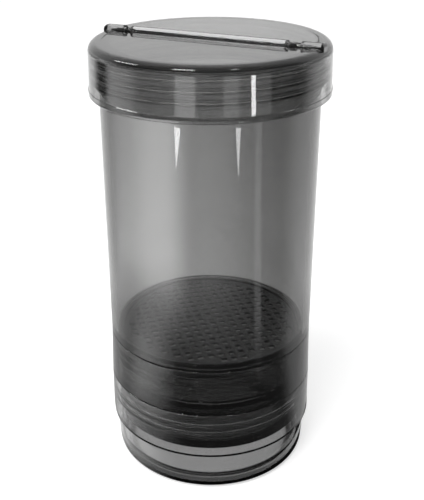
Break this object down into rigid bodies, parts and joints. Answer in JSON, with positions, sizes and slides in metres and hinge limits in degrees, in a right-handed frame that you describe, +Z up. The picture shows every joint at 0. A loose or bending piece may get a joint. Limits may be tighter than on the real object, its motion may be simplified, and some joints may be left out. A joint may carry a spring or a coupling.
{
  "type": "cricket shaker",
  "caption": "Clear feeder-insect shaker: tall chamber with a sieve at its foot, stacked powder cups below and a screw lid with a half-moon flap.",
  "frame": {"origin": "centre of the flat face that the lower cup stands on", "axes": "+Z up along the axis of the chamber; the shaker is seen from -Y in the picture, and the hinge bar's right end is turned 25 degrees towards -Y"},
  "size_m": [0.089, 0.089, 0.1732],
  "materials": {
    "cup_plastic": "clear smoke-grey moulded plastic, glossy",
    "tube_plastic": "clear smoke-grey moulded plastic, glossy",
    "sieve_plastic": "clear smoke-grey moulded plastic, satin where it is perforated",
    "lid_plastic": "clear smoke-grey moulded plastic, glossy"
  },
  "bodies": {
    "lower_cup": {"lower_cup": "cup_plastic"},
    "upper_cup": {"upper_cup": "cup_plastic"},
    "chamber": {"main_tube": "tube_plastic"},
    "sieve": {"sieve": "sieve_plastic"},
    "lid": {"lid": "lid_plastic"},
    "flap": {"flap": "lid_plastic"}
  },
  "joints": [
    {"name": "upper_cup_lift", "type": "slide", "parent": "lower_cup", "child": "upper_cup", "axis": [0, 0, 1], "range_m": [0, 0.025]},
    {"name": "chamber_lift", "type": "slide", "parent": "upper_cup", "child": "chamber", "axis": [0, 0, 1], "range_m": [0, 0.025]},
    {"name": "sieve_lift", "type": "slide", "parent": "chamber", "child": "sieve", "axis": [0, 0, 1], "range_m": [0, 0.108]},
    {"name": "lid_lift", "type": "slide", "parent": "chamber", "child": "lid", "axis": [0, 0, 1], "range_m": [0, 0.025]},
    {"name": "flap_hinge", "type": "hinge", "parent": "lid", "child": "flap", "pos_m": [0, 0, 0.1711], "axis": [0.9063, -0.4226, 0], "range_deg": [0, 125]}
  ]
}
